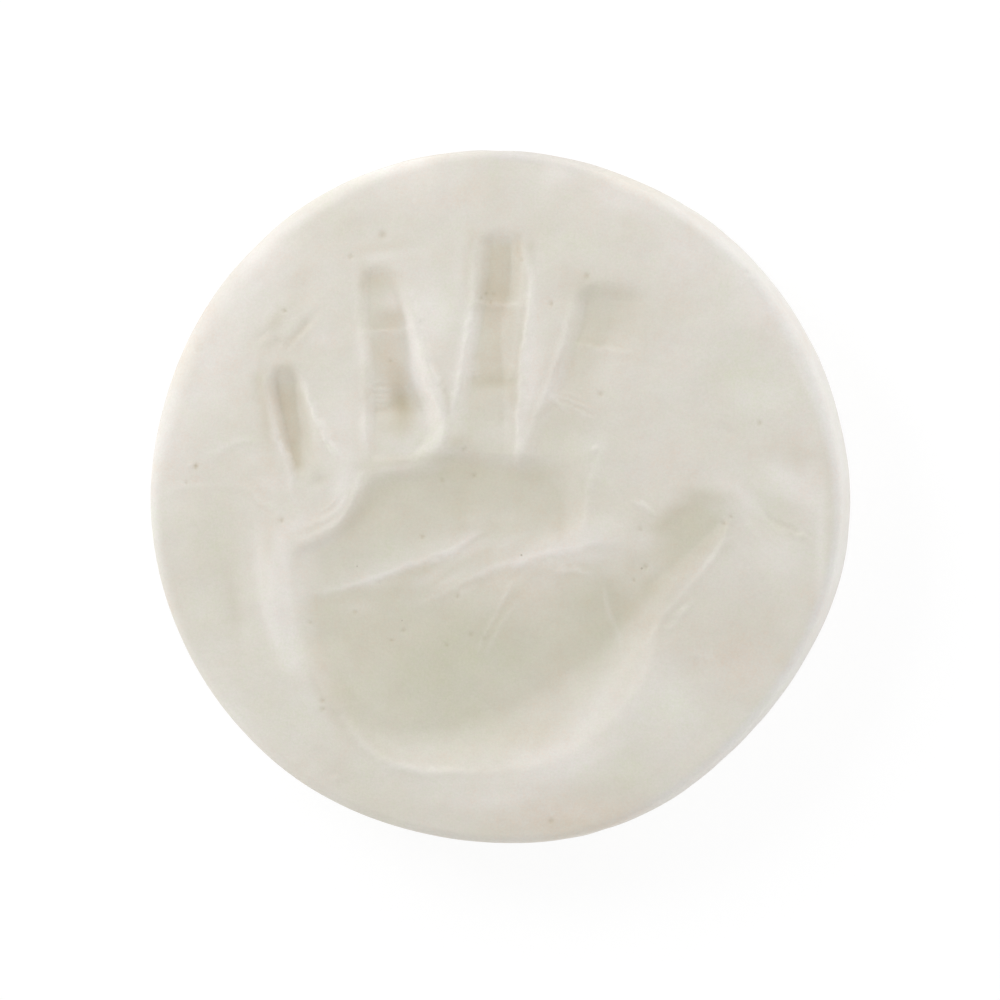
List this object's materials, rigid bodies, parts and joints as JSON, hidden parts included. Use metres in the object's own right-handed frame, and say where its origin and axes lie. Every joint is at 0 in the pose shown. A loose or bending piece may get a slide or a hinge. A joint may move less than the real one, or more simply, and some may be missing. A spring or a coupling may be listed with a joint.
{
  "type": "hand print keepsake disc",
  "caption": "Round disc of pale pressed clay with the print of a small hand in its face, made to lie on a shelf or to be kept in a box.",
  "frame": {"origin": "middle of the flat back, on the surface that the disc lies on", "axes": "+Z out of the printed face, +Y towards the fingertips, +X to the right as the face is looked at"},
  "size_m": [0.1108, 0.109, 0.0143],
  "materials": {
    "dried_clay": "matt, dried and unglazed, slightly yellower where the hand pressed it"
  },
  "bodies": {
    "root": {"clay_disc": "dried_clay"}
  },
  "joints": []
}
